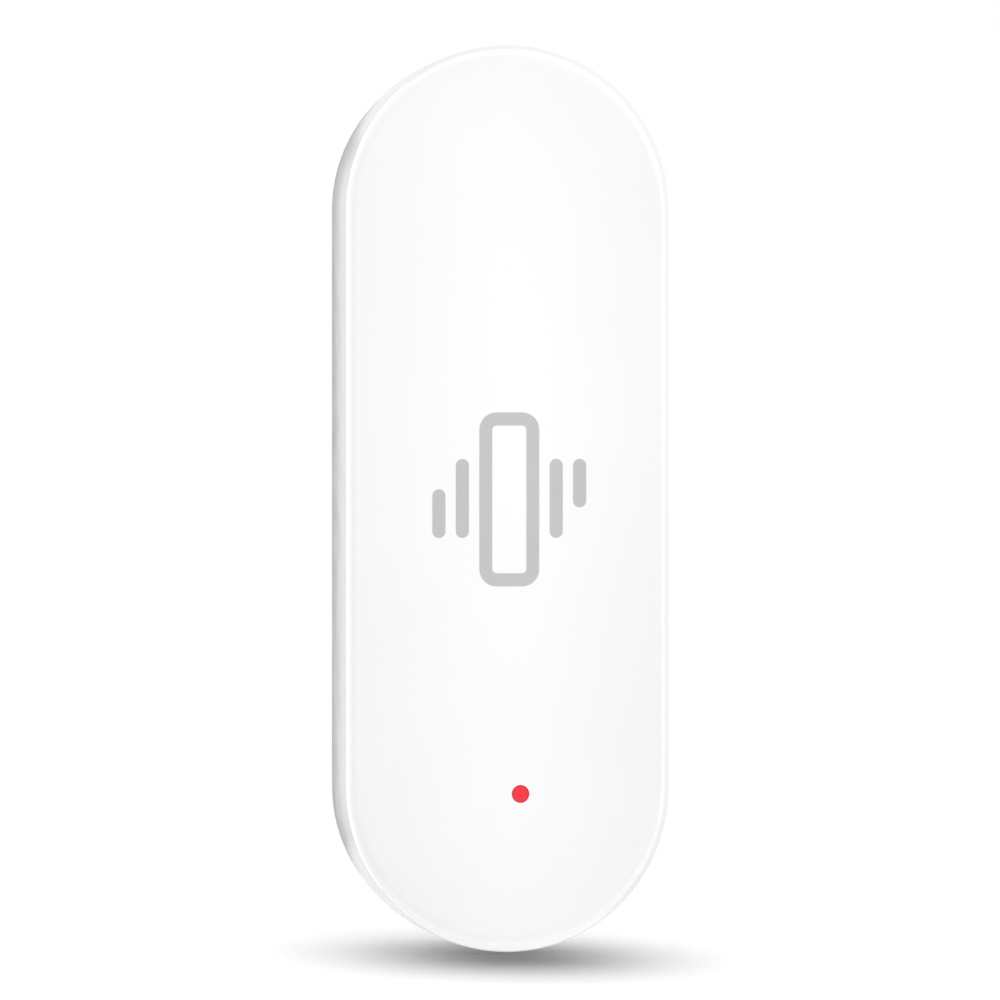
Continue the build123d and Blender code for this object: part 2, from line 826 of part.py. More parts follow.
def chip_end_caps():
    low = board_back - small_height
    cap_x = (small_length - small_cap) / 2
    cap = block(cap_x, 0, small_cap, small_width, low, board_back)
    caps = []
    for x, y, turn in capacitor_places() + resistor_places():
        place = Pos(x, y) * Rot(0, 0, turn)
        caps += [place * cap, place * mirror(cap, Plane.YZ)]
    return Compound(caps)


def stand_up(piece):
    return piece.rotate(Axis.X, quarter_turn)


pieces = {
    "front_housing": front_housing(),
    "light_guide": light_guide(),
    "circuit_board": circuit_board(),
    "board_screws": board_screws(),
    "status_led_base": status_led_base(),
    "status_led_lens": status_led_lens(),
    "battery_tray": battery_tray(),
    "positive_contact": positive_contact(),
    "negative_contact": negative_contact(),
    "cell_can": cell_can(),
    "cell_seal": cell_seal(),
    "cell_cap": cell_cap(),
    "cell_cathode": cell_cathode(),
    "cell_separator": cell_separator(),
    "cell_anode": cell_anode(),
    "radio_board": radio_board(),
    "radio_shield": radio_shield(),
    "radio_chip": radio_chip(),
    "radio_crystal": radio_crystal(),
    "radio_antenna": radio_antenna(),
    "sensor_sleeve": sensor_sleeve(),
    "sensor_end_caps": sensor_end_caps(),
    "sensor_ball": sensor_ball(),
    "button_base": button_base(),
    "button_frame": button_frame(),
    "button_dome": button_dome(),
    "button_terminals": button_terminals(),
    "button_plunger": button_plunger(),
    "buffer_capacitor": buffer_capacitor(),
    "chip_capacitors": small_bodies(capacitor_places()),
    "chip_resistors": small_bodies(resistor_places()),
    "chip_end_caps": chip_end_caps(),
    "back_cover": back_cover(),
    "cover_hooks": cover_hooks(),
    "adhesive_pad": adhesive_pad(),
}

os.makedirs("parts", exist_ok=True)
for name, piece in pieces.items():
    export_step(stand_up(piece), f"parts/{name}.step")
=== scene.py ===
import json
from math import atan2, cos, e as EULER, radians, sin

import bmesh
import bpy
from mathutils import Matrix, Vector


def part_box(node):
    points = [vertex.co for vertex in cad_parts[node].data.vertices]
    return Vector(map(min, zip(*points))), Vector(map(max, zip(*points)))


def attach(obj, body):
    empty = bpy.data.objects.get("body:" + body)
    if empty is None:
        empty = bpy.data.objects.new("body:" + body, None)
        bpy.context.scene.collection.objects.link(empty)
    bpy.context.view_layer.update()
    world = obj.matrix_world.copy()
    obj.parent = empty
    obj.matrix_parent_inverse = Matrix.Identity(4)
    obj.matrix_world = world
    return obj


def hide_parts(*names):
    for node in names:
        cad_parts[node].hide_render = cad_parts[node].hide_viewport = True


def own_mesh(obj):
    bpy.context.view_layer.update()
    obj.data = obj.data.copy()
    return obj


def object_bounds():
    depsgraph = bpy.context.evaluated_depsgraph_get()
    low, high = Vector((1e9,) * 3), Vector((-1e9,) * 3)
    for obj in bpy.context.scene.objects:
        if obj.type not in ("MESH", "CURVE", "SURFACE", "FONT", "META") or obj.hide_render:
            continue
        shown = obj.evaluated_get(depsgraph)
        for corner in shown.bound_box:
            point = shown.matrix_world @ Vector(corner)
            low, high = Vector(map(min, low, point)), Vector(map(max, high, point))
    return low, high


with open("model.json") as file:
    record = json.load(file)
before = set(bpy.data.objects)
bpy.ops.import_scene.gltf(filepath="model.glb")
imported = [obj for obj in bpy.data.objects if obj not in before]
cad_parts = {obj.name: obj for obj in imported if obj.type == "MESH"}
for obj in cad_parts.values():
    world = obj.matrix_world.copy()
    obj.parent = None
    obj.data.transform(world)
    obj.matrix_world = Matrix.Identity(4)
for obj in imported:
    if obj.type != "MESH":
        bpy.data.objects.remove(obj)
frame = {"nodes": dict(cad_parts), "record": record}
cad_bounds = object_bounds()
scene = bpy.context.scene

MM = 0.001

# The tag stands upright: front to -Y, adhesive face at Y = 0, lamp towards -Z.
TAG_LOW, TAG_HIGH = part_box("front_housing")
FRONT_Y = TAG_LOW.y
MIDDLE_Z = (TAG_LOW.z + TAG_HIGH.z) / 2
UPRIGHT = Matrix.Rotation(radians(90), 4, "X")      # turns what lies flat to face front and back

# Camera: far away with a long lens, a little to the tag's left
CAMERA_DISTANCE = 2.0
CAMERA_TURN = radians(10.5)
CAMERA_PITCH = radians(0.5)
VIEW_HEIGHT = 80.5 * MM         # what the frame shows at the front face
VIEW_SHIFT_X = -0.0093
VIEW_SHIFT_Y = -0.0011

# Materials
COLOUR_STOPS = (0.35, 0.65)     # values of a noise between which the colour changes
GLOSS_STOPS = (0.3, 0.7)        # and between which the gloss changes


def shader(material):
    return material.node_tree.nodes["Principled BSDF"]


def link(owner, source, target):
    owner.node_tree.links.new(source, target)


def new_material(name, base, roughness, metallic=0.0):
    """A material with its shader's own sockets set; the functions below add detail."""
    material = bpy.data.materials.new(name)
    material.use_nodes = True
    shader(material).inputs["Base Color"].default_value = (*base, 1)
    shader(material).inputs["Roughness"].default_value = roughness
    shader(material).inputs["Metallic"].default_value = metallic
    return material


def add_node(owner, kind, **values):
    """A new node; each value goes to the socket or the setting with its name."""
    node = owner.node_tree.nodes.new(kind)
    for name, value in values.items():
        if name in node.inputs:
            node.inputs[name].default_value = value
        else:
            setattr(node, name, value)
    return node


def noise(material, scale, detail, stretch=(1, 1, 1)):
    """Noise over the piece's own coordinates; returns the socket with the grey value."""
    place = add_node(material, "ShaderNodeTexCoord")
    mapping = add_node(material, "ShaderNodeMapping", Scale=stretch)
    texture = add_node(material, "ShaderNodeTexNoise", Scale=scale, Detail=detail)
    link(material, place.outputs["Object"], mapping.inputs["Vector"])
    link(material, mapping.outputs["Vector"], texture.inputs["Vector"])
    return texture.outputs["Fac"]


def spread(owner, value, stops, ends):
    """Spread what lies between two stops over the range between two ends."""
    node = add_node(owner, "ShaderNodeMapRange")
    for name, number in zip(("From Min", "From Max", "To Min", "To Max"), (*stops, *ends)):
        node.inputs[name].default_value = number
    link(owner, value, node.inputs["Value"])
    return node.outputs["Result"]


def mottle(material, value, first, second):
    """Base colour that wanders between two colours."""
    ramp = add_node(material, "ShaderNodeValToRGB")
    for element, stop, colour in zip(ramp.color_ramp.elements, COLOUR_STOPS, (first, second)):
        element.position = stop
        element.color = (*colour, 1)
    link(material, value, ramp.inputs["Fac"])
    link(material, ramp.outputs["Color"], shader(material).inputs["Base Color"])


def uneven_gloss(material, value, low, high):
    """Roughness that wanders between two numbers."""
    rough = spread(material, value, GLOSS_STOPS, (low, high))
    link(material, rough, shader(material).inputs["Roughness"])


def grain(material, value, strength, depth):
    """Bump from a grey value."""
    bump = add_node(material, "ShaderNodeBump", Strength=strength, Distance=depth)
    link(material, value, bump.inputs["Height"])
    link(material, bump.outputs["Normal"], shader(material).inputs["Normal"])


def moulded(name, base, roughness, texture=0.06):
    """Moulded plastic: fine spark texture, faint flow marks in colour and gloss."""
    material = new_material(name, base, roughness)
    flow_marks = noise(material, scale=60, detail=2)
    mottle(material, flow_marks, tuple(c * 0.985 for c in base), base)
    patches = noise(material, scale=300, detail=3)
    uneven_gloss(material, patches, roughness * 0.9, roughness * 1.12)
    if texture:
        grain(material, noise(material, scale=9000, detail=2), texture, 0.02 * MM)
    return material


def plated(name, base, roughness, stretch=(1, 1, 1)):
    """Metal with faint stains, and lines if its noise is stretched."""
    material = new_material(name, base, roughness, metallic=1.0)
    stains = noise(material, scale=500, detail=4)
    mottle(material, stains, tuple(c * 0.9 for c in base), base)
    lines = noise(material, scale=2500, detail=4, stretch=stretch)
    uneven_gloss(material, lines, roughness * 0.75, roughness * 1.3)
    grain(material, noise(material, scale=2500, detail=3, stretch=stretch), 0.05, 0.01 * MM)
    return material


materials = {
    "housing": moulded("housing_white", (0.925, 0.927, 0.93), 0.22, texture=0.02),
    "cover": moulded("cover_white", (0.84, 0.843, 0.85), 0.42, texture=0.12),
    "lens_red": moulded("lens_red", (0.93, 0.012, 0.028), 0.12, texture=0.0),
    "foam": moulded("foam_grey", (0.62, 0.63, 0.64), 0.85, texture=0.5),
    "tray": moulded("tray_black", (0.018, 0.018, 0.02), 0.5, texture=0.2),
    "board": moulded("board_green", (0.012, 0.105, 0.045), 0.3),
    "module_board": moulded("module_blue", (0.008, 0.035, 0.1), 0.32),
    "steel": plated("nickel_strip", (0.62, 0.61, 0.58), 0.28, (1, 1, 12)),
    "tin": plated("tinned", (0.7, 0.7, 0.68), 0.42),
    "screw_steel": plated("black_zinc", (0.12, 0.12, 0.13), 0.35),
    "can_steel": plated("nickel_can", (0.68, 0.67, 0.65), 0.25),
    "gold": plated("gold_plate", (0.83, 0.57, 0.2), 0.25),
    "seal": moulded("seal_black", (0.02, 0.02, 0.02), 0.6),
    "pellet": moulded("pellet_black", (0.015, 0.015, 0.015), 0.9, texture=0.6),
    "separator": moulded("separator_white", (0.75, 0.75, 0.72), 0.9, texture=0.4),
    "soft_metal": plated("soft_metal", (0.55, 0.55, 0.53), 0.6),
    "chip_black": moulded("chip_black", (0.02, 0.02, 0.022), 0.55, texture=0.3),
    "lamp_white": moulded("lamp_white", (0.75, 0.73, 0.68), 0.4),
    "lamp_clear": moulded("lamp_clear", (0.85, 0.5, 0.42), 0.15, texture=0.0),
    "tan": moulded("capacitor_tan", (0.36, 0.22, 0.11), 0.6, texture=0.3),
    "tantalum": moulded("tantalum_yellow", (0.72, 0.36, 0.03), 0.5, texture=0.3),
    "button_grey": moulded("button_black", (0.025, 0.025, 0.028), 0.45, texture=0.2),
}

slots = {piece["node"]: piece["material_slot"] for piece in frame["record"]["subparts"]}
for node, piece in frame["nodes"].items():
    for place in piece.material_slots:
        place.material = materials[slots[node]]
    if not piece.material_slots:
        piece.data.materials.append(materials[slots[node]])


# Helpers for new pieces
def finish_piece(bm, name, material, body, smooth=False):
    """Turn a bmesh into a piece that rides on a body."""
    bmesh.ops.remove_doubles(bm, verts=bm.verts, dist=0.0001 * MM)
    bmesh.ops.recalc_face_normals(bm, faces=bm.faces)
    mesh = bpy.data.meshes.new(name)
    bm.to_mesh(mesh)
    bm.free()
    piece = bpy.data.objects.new(name, mesh)
    scene.collection.objects.link(piece)
    mesh.materials.append(material)
    if smooth:
        for face in mesh.polygons:
            face.use_smooth = True
    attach(piece, body)
    return piece


def flat_sheet(bm, place, width, height):
    """A flat rectangle, placed by a matrix; returns its vertices."""
    size = Matrix.Diagonal((width, height, 1, 1))
    sheet = bmesh.ops.create_grid(bm, x_segments=1, y_segments=1, size=0.5, matrix=place @ size)
    return sheet["verts"]


def rounded_face(bm, centre, width, height, radius, y, steps):
    """A flat rounded rectangle at y that faces the front or the back."""
    place = Matrix.Translation((centre[0], y, centre[1])) @ UPRIGHT
    rounded = bmesh.ops.bevel(
        bm, geom=flat_sheet(bm, place, width, height), offset=radius, segments=steps,
        affect="VERTICES", profile=0.5, material=-1,
    )
    return rounded["verts"][0].link_faces[0]


def thicken(bm, faces, rise):
    """Make flat faces a solid that rises along Y."""
    raised = bmesh.ops.extrude_face_region(bm, geom=faces)["geom"]
    verts = [item for item in raised if isinstance(item, bmesh.types.BMVert)]
    bmesh.ops.translate(bm, vec=(0, rise, 0), verts=verts)


def printed(bm, centre, width, height, radius, y, rise, steps=10):
    """A solid rounded shape that stands on a face at y and rises from it."""
    thicken(bm, [rounded_face(bm, centre, width, height, radius, y, steps)], rise)


def printed_frame(bm, centre, width, height, radius, stroke, y, rise, steps=10):
    """A rounded frame, one stroke wide, that stands on a face at y and rises from it."""
    face = rounded_face(bm, centre, width, height, radius, y, steps)
    border = bmesh.ops.inset_region(
        bm, faces=[face], thickness=stroke, use_even_offset=True, use_boundary=True
    )
    bmesh.ops.delete(bm, geom=[face], context="FACES_ONLY")
    thicken(bm, border["faces"], rise)


def slab(bm, low, high, bevel=0.0):
    """A box between two corners; returns its vertices, or rounds its edges if a bevel is given."""
    low, high = Vector(low), Vector(high)
    place = Matrix.Translation((low + high) / 2) @ Matrix.Diagonal((*(high - low), 1))
    verts = bmesh.ops.create_cube(bm, size=1, matrix=place)["verts"]
    if bevel:
        round_edges(bm, verts, bevel)
    return verts


def round_edges(bm, verts, bevel):
    """Round all edges that meet these vertices."""
    edges = list(dict.fromkeys(edge for vert in verts for edge in vert.link_edges))
    bmesh.ops.bevel(
        bm, geom=edges, offset=bevel, segments=2, affect="EDGES", profile=0.5, material=-1
    )


def line(bm, points, width, y, rise):
    """A flat line with round ends through points (x, z), given in millimetres."""
    points = [Vector((x * MM, 0, z * MM)) for x, z in points]
    for start, end in zip(points, points[1:]):
        along = end - start
        turn = Matrix.Rotation(-atan2(along.z, along.x), 4, "Y")
        place = Matrix.Translation((start + end) / 2 + Vector((0, y + rise / 2, 0))) @ turn
        size = Matrix.Diagonal((along.length, rise, width, 1))
        bmesh.ops.create_cube(bm, size=1, matrix=place @ size)
    for point in points:
        dot(bm, point.x, point.z, width / 2, y, rise * 1.05, segments=12)


def dot(bm, x, z, radius, y, rise, segments=20):
    """A flat disc that rises from a face at y."""
    place = Matrix.Translation((x, y + rise / 2, z)) @ UPRIGHT
    bmesh.ops.create_cone(
        bm, cap_ends=True, segments=segments, radius1=radius, radius2=radius, depth=rise,
        matrix=place,
    )


def loose_boxes(node):
    """The lowest and highest corner of each separate solid in a CAD node."""
    bm = bmesh.new()
    bm.from_mesh(frame["nodes"][node].data)
    bmesh.ops.remove_doubles(bm, verts=bm.verts, dist=0.001 * MM)
    waiting, boxes = set(bm.verts), []
    for first in bm.verts:
        if first not in waiting:
            continue
        waiting.remove(first)
        found = [first]
        for vert in found:
            for edge in vert.link_edges:
                other = edge.other_vert(vert)
                if other in waiting:
                    waiting.remove(other)
                    found.append(other)
        boxes.append([
            Vector([pick(vert.co[axis] for vert in found) for axis in range(3)])
            for pick in (min, max)
        ])
    bm.free()
    return boxes


# Sign printed on the front: a frame between two pairs of bars
PRINT_RISE = -0.02 * MM
SIGN_MIDDLE = (0, -0.04 * MM)
SIGN_WIDTH, SIGN_HEIGHT = 4.9 * MM, 14.0 * MM
SIGN_RADIUS, SIGN_STROKE = 1.4 * MM, 1.05 * MM
BAR_WIDTH = 1.07 * MM
BAR_RADIUS = 0.5349 * MM        # a hair under half the width, so that the ends keep a flat
sign_bars = (                   # mm: place across, top, bottom
    (-5.76, 0.78, -3.14), (-3.84, 3.22, -3.14), (3.84, 3.22, -3.14), (5.76, 3.22, -0.69),
)

sign_ink = moulded("sign_grey", (0.495, 0.495, 0.508), 0.5, texture=0.1)
bm = bmesh.new()
printed_frame(
    bm, SIGN_MIDDLE, SIGN_WIDTH, SIGN_HEIGHT, SIGN_RADIUS, SIGN_STROKE, FRONT_Y, PRINT_RISE
)
for x, top, bottom in sign_bars:
    middle = (x * MM, (top + bottom) / 2 * MM)
    printed(bm, middle, BAR_WIDTH, (top - bottom) * MM, BAR_RADIUS, FRONT_Y, PRINT_RISE)
finish_piece(bm, "front_sign", sign_ink, "front")

# Adhesive pad on the back: foam, the paper liner on it, and the tab that pulls the liner off
PAD_LOW, PAD_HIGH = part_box("adhesive_pad")
PAD_WIDTH, PAD_LENGTH = PAD_HIGH.x - PAD_LOW.x, PAD_HIGH.z - PAD_LOW.z
PAD_MIDDLE = (0, (PAD_LOW.z + PAD_HIGH.z) / 2)
PAD_RADIUS = PAD_WIDTH / 2 - 0.01 * MM
PAD_STEPS = 24
FOAM_ROUNDING = 0.07 * MM
LINER_THICKNESS = 0.1 * MM      # the room that the foam leaves for it
LINER_RISE = -0.098 * MM
PAPER, PAPER_LINES = (0.82, 0.81, 0.765), (0.77, 0.76, 0.715)
TAB_WIDTH, TAB_LENGTH = 7 * MM, 5 * MM      # the length takes in the part inside the liner
TAB_RADIUS = 2.2 * MM
TAB_REACH = 2.4 * MM            # past the pad
TAB_SINK, TAB_RISE = 0.002 * MM, -0.09 * MM

foam = moulded("foam_white", (0.72, 0.725, 0.73), 0.85, texture=0.0)
grain(foam, noise(foam, scale=2600, detail=4), 0.55, 0.06 * MM)
bm = bmesh.new()
foam_face = rounded_face(
    bm, PAD_MIDDLE, PAD_WIDTH, PAD_LENGTH, PAD_RADIUS, PAD_LOW.y, PAD_STEPS
)
thicken(bm, [foam_face], PAD_HIGH.y - PAD_LOW.y - LINER_THICKNESS)
level_edges = [
    edge for edge in bm.edges if abs(edge.verts[0].co.y - edge.verts[1].co.y) < 0.001 * MM
]
bmesh.ops.bevel(
    bm, geom=level_edges, offset=FOAM_ROUNDING, segments=3, affect="EDGES", profile=0.5,
    material=-1,
)
pad = finish_piece(bm, "foam_pad", foam, "back")
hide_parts("adhesive_pad")

liner_paper = moulded("liner_paper", PAPER, 0.38, texture=0.0)
ridges = add_node(
    liner_paper, "ShaderNodeTexWave", Scale=420, Distortion=0.6, bands_direction="DIAGONAL"
)
place = add_node(liner_paper, "ShaderNodeTexCoord")
link(liner_paper, place.outputs["Object"], ridges.inputs["Vector"])
mottle(liner_paper, ridges.outputs["Fac"], PAPER_LINES, PAPER)
grain(liner_paper, ridges.outputs["Fac"], 0.25, 0.04 * MM)
bm = bmesh.new()
printed(bm, PAD_MIDDLE, PAD_WIDTH, PAD_LENGTH, PAD_RADIUS, PAD_HIGH.y, LINER_RISE, PAD_STEPS)
finish_piece(bm, "pad_liner", liner_paper, "back")
bm = bmesh.new()
tab_middle = (0, PAD_HIGH.z + TAB_REACH - TAB_LENGTH / 2)
printed(
    bm, tab_middle, TAB_WIDTH, TAB_LENGTH, TAB_RADIUS, PAD_HIGH.y - TAB_SINK, TAB_RISE, steps=12
)
finish_piece(bm, "liner_tab", liner_paper, "back")

# The board's back: tracks, vias and pads. Their places are in millimetres, across and up.
BOARD_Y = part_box("circuit_board")[1].y
MODULE_LOW, MODULE_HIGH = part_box("radio_board")
MODULE_BOTTOM, MODULE_EDGE = MODULE_LOW.z / MM, MODULE_HIGH.x / MM
CASTLE_COUNT, CASTLE_PITCH = 7, 1.4     # the contacts along each side of the module
COPPER_RISE = 0.03 * MM
GOLD_RISE = COPPER_RISE * 1.3
HOLE_RISE = COPPER_RISE * 0.4
INK_RISE = 0.02 * MM
TRACK_WIDTH = 0.3 * MM
INK_WIDTH = 0.14 * MM
VIA_SIZE, VIA_RADIUS, VIA_STROKE = 0.72 * MM, 0.35 * MM, 0.18 * MM
VIA_HOLE_RADIUS = 0.19 * MM
VIA_ARC_Z, VIA_ARC_RADIUS = -23.3, 9.6  # vias round the lower end of the board
TEST_PAD_RADIUS = 0.6 * MM
CONTACT_SIZE, CONTACT_RADIUS = (0.36 * MM, 0.8 * MM), 0.1 * MM
CONTACT_INSET = 0.55

castles = [MODULE_BOTTOM + CASTLE_PITCH * (number + 1) for number in range(CASTLE_COUNT)]
both_castles = [(side, z) for side in (-1, 1) for z in castles]
upper_routes = [
    [(MODULE_EDGE, castles[0]), (6.9, castles[0] - 0.5), (6.9, 14.0)],
    [(MODULE_EDGE, castles[1]), (7.1, castles[1]), (7.5, castles[1] - 0.4), (7.5, 15.2)],
    [(MODULE_EDGE, castles[2]), (7.7, castles[2]), (8.1, castles[2] - 0.4), (8.1, 15.4)],
    [(MODULE_EDGE, castles[3]), (7.4, castles[3])],
    [(MODULE_EDGE, castles[4]), (8.3, castles[4])],
    [(MODULE_EDGE, castles[5]), (8.3, castles[5])],
    [(MODULE_EDGE, castles[6]), (8.2, castles[6])],
]
left_routes = [[(-x, z) for x, z in route] for route in upper_routes]
lower_routes = [
    [(-0.9, -7.4), (-0.9, -16.4), (-1.5, -17.0), (-2.4, -17.0)],
    [(-0.3, -7.4), (-0.3, -18.2)],
    [(0.3, -7.4), (0.3, -13.4), (1.2, -14.36), (2.4, -14.36)],
    [(0.9, -7.4), (0.9, -10.6), (1.6, -11.36), (2.4, -11.36)],
    [
        (7.5, -11.36), (9.1, -11.36), (9.6, -11.9), (9.6, -20.6),
        (8.4, -21.8), (8.4, -24.5), (7.8, -25.1),
    ],
    [(7.5, -14.36), (8.5, -14.36), (8.9, -14.8), (8.9, -18.0), (8.0, -19.0), (7.5, -19.0)],
    [(2.9, -20.4), (4.4, -20.4), (5.2, -21.2), (6.0, -21.7)],
    [(-4.1, -20.4), (-6.0, -20.4)],
    [(-7.5, -20.4), (-8.5, -20.4), (-8.9, -20.8), (-8.9, -23.4), (-8.5, -23.8), (-7.5, -23.8)],
    [(-6.0, -23.8), (-4.6, -23.8), (-3.3, -25.1), (-0.8, -25.1)],
    [(0.8, -25.1), (6.0, -25.1)],
    [(-6.6, -16.9), (-6.6, -15.1)],
    [(-4.5, -16.9), (-4.5, -15.1)],
    [(-6.6, -18.3), (-8.2, -19.0), (-9.6, -17.6), (-9.6, -9.4)],
    [(-4.5, -18.3), (-4.9, -18.7), (-4.9, -19.4)],
    [(2.2, -23.8), (3.4, -22.7), (4.9, -22.7), (6.0, -21.9)],
    [(-4.8, -29.8), (-4.8, -27.0), (-3.4, -25.6)],
    [(4.8, -29.8), (4.8, -26.4), (5.9, -25.3)],
]
vias = [
    (-0.3, -18.2), (-9.6, -9.4), (-4.9, -19.4), (2.2, -23.8),
    (-0.2, -23.8), (3.4, -17.2), (4.6, -18.0),
]
for side in (-1, 1):
    vias += [
        (side * 7.4, castles[3]), (side * 8.2, castles[6]), (side * 7.5, 28.2), (side * 6.9, 30.4),
    ]
    for turn in range(20, 81, 15):
        across, down = cos(radians(turn)), sin(radians(turn))
        vias.append((side * VIA_ARC_RADIUS * across, VIA_ARC_Z - VIA_ARC_RADIUS * down))
test_pads = ((-4.8, -29.8), (4.8, -29.8), (-2.6, -32.0), (2.6, -32.0))

copper = moulded("board_copper", (0.02, 0.17, 0.07), 0.28)
ink = moulded("board_ink", (0.78, 0.78, 0.75), 0.55, texture=0.3)
bm = bmesh.new()
for route in upper_routes + left_routes + lower_routes:
    line(bm, route, TRACK_WIDTH, BOARD_Y, COPPER_RISE)
finish_piece(bm, "board_tracks", copper, "front")

bm = bmesh.new()
hole_shade_discs = bmesh.new()
for x, z in vias:
    printed_frame(
        bm, (x * MM, z * MM), VIA_SIZE, VIA_SIZE, VIA_RADIUS, VIA_STROKE, BOARD_Y, GOLD_RISE,
        steps=4,
    )
    # A black disc in each via is painted shade, standing for the dark inside of a hole that isn't
    # cut
    dot(hole_shade_discs, x * MM, z * MM, VIA_HOLE_RADIUS, BOARD_Y, HOLE_RISE)
for x, z in test_pads:
    dot(bm, x * MM, z * MM, TEST_PAD_RADIUS, BOARD_Y, GOLD_RISE)
for side, z in both_castles:
    centre = (side * (MODULE_EDGE - CONTACT_INSET) * MM, z * MM)
    printed(bm, centre, *CONTACT_SIZE, CONTACT_RADIUS, MODULE_HIGH.y, INK_RISE, steps=3)
finish_piece(bm, "board_gold", materials["gold"], "front")
finish_piece(hole_shade_discs, "via_hole_shade", materials["chip_black"], "front")

# Solder: a pad and a leaning fillet at the outer side of each lead, and beads in the module's edge
SOLDER_MARGIN = 0.12 * MM       # of the pads round the leads
FILLET_REACH = 0.28 * MM
FILLET_LEAN = 0.2 * MM
FILLET_ROUNDING = 0.035 * MM
CHIP_FILLET = 0.42 * MM         # height
lead_fillets = (                # node, height, and how much shorter the fillet is at each end
    ("button_terminals", 0.45 * MM, 0), ("sensor_end_caps", 0.7 * MM, 0.5 * MM),
)
BEAD_OUT = 0.1                  # mm, off the module's edge
BEAD_SHAPE = (0.42, 0.62, 0.36)     # mm, from its middle to its surface along X, Y and Z


def solder(bm, low, high, outward, height):
    """Solder beside a lead's foot, outward along X or Z, with a pad under both."""
    lowest = Vector((low.x, BOARD_Y, low.z))
    highest = Vector((high.x, BOARD_Y + height, high.z))
    axis = 0 if outward.x else 2
    if outward[axis] > 0:
        lowest[axis], highest[axis] = high[axis], high[axis] + FILLET_REACH
    else:
        lowest[axis], highest[axis] = low[axis] - FILLET_REACH, low[axis]
    middle = (lowest + highest) / 2
    verts = slab(bm, lowest, highest)
    for vert in verts:
        if vert.co.y > middle.y and (vert.co - middle).dot(outward) > 0:
            vert.co -= outward * FILLET_LEAN
    round_edges(bm, verts, FILLET_ROUNDING)
    margin = Vector((SOLDER_MARGIN, 0, SOLDER_MARGIN))
    pad_low = Vector([min(pair) for pair in zip(lowest, low)]) - margin
    pad_high = Vector([max(pair) for pair in zip(highest, high)]) + margin
    pad_low.y, pad_high.y = BOARD_Y - INK_RISE, BOARD_Y + COPPER_RISE
    slab(bm, pad_low, pad_high)


bm = bmesh.new()
chips = loose_boxes("chip_capacitors") + loose_boxes("chip_resistors")
for low, high in loose_boxes("chip_end_caps"):
    middle = (low + high) / 2
    chip = min(chips, key=lambda box: ((box[0] + box[1]) / 2 - middle).length)
    away = middle - (chip[0] + chip[1]) / 2
    axis = 0 if abs(away.x) > abs(away.z) else 2
    outward = Vector()
    outward[axis] = 1 if away[axis] > 0 else -1
    solder(bm, low, high, outward, CHIP_FILLET)
for node, height, shorter in lead_fillets:
    boxes = loose_boxes(node)
    centre = sum((box[0].x + box[1].x) / 2 for box in boxes) / len(boxes)
    inset = Vector((0, 0, shorter))
    for low, high in boxes:
        outward = Vector((1 if (low.x + high.x) / 2 > centre else -1, 0, 0))
        solder(bm, low + inset, high - inset, outward, height)
for side, z in both_castles:
    bead = Matrix.Translation((side * (MODULE_EDGE + BEAD_OUT) * MM, BOARD_Y, z * MM))
    bmesh.ops.create_uvsphere(
        bm, u_segments=12, v_segments=8, radius=MM, matrix=bead @ Matrix.Diagonal((*BEAD_SHAPE, 1))
    )
finish_piece(bm, "board_solder", materials["tin"], "front")

# Capacitor: folded end leads with their feet, and the bar that marks its positive end
CAP_LOW, CAP_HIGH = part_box("buffer_capacitor")
LEAD_ROUNDING = 0.04 * MM
cap_leads = (                   # thickness or reach, lower and upper face off the board, inset
    (0.12 * MM, COPPER_RISE, 1.3 * MM, 0.5 * MM), (0.45 * MM, -INK_RISE, 0.12 * MM, 0.3 * MM),
)
CAP_BAR_FROM, CAP_BAR_TO = 0.35 * MM, 1.05 * MM
CAP_BAR_INSET = 0.12 * MM
CAP_BAR_SINK, CAP_BAR_RISE = 0.01 * MM, 0.012 * MM

bm = bmesh.new()
for side, x in ((-1, CAP_LOW.x), (1, CAP_HIGH.x)):
    for reach, lower, upper, inset in cap_leads:
        left, right = sorted((x, x + side * reach))
        slab(
            bm, (left, BOARD_Y + lower, CAP_LOW.z + inset),
            (right, BOARD_Y + upper, CAP_HIGH.z - inset), LEAD_ROUNDING,
        )
finish_piece(bm, "capacitor_leads", materials["tin"], "front")
bm = bmesh.new()
slab(
    bm, (CAP_LOW.x + CAP_BAR_FROM, CAP_HIGH.y - CAP_BAR_SINK, CAP_LOW.z + CAP_BAR_INSET),
    (CAP_LOW.x + CAP_BAR_TO, CAP_HIGH.y + CAP_BAR_RISE, CAP_HIGH.z - CAP_BAR_INSET),
)
bar_ink = moulded("capacitor_bar", (0.22, 0.07, 0.015), 0.5, texture=0.3)
finish_piece(bm, "capacitor_bar", bar_ink, "front")

# White ink on the board and the module: outlines and polarity signs, no letters
CHIP_ROOM_ALONG, CHIP_ROOM_ACROSS = 1.5 * MM, 0.6 * MM      # both sides together
CHIP_FRAME_RADIUS, PIECE_FRAME_RADIUS = 0.15 * MM, 0.2 * MM
piece_frames = (                # node, and the room on each side, mm across and up
    ("buffer_capacitor", 0.75, 0.3), ("button_base", 0.9, 0.3), ("sensor_sleeve", 2.0, 0.35),
)
PLUS_X, PLUS_Z, PLUS_ARM = -8.9, -12.86, 0.45
SCREW_RING_MIDDLE = (0, -28.56 * MM)
SCREW_RING_SIZE, SCREW_RING_RADIUS = 4.2 * MM, 2.09 * MM
UNDER_MODULE = MODULE_BOTTOM - 0.3
ANTENNA_LINE_END, ANTENNA_LINE_Z = 5.5, 27.1
PIN_DOT_X, PIN_DOT_Z, PIN_DOT_RADIUS = -5.6 * MM, 16.9 * MM, 0.16 * MM


def ink_frame(bm, centre, width, height, radius, steps=3):
    """A frame of white ink on the board."""
    printed_frame(bm, centre, width, height, radius, INK_WIDTH, BOARD_Y, INK_RISE, steps)


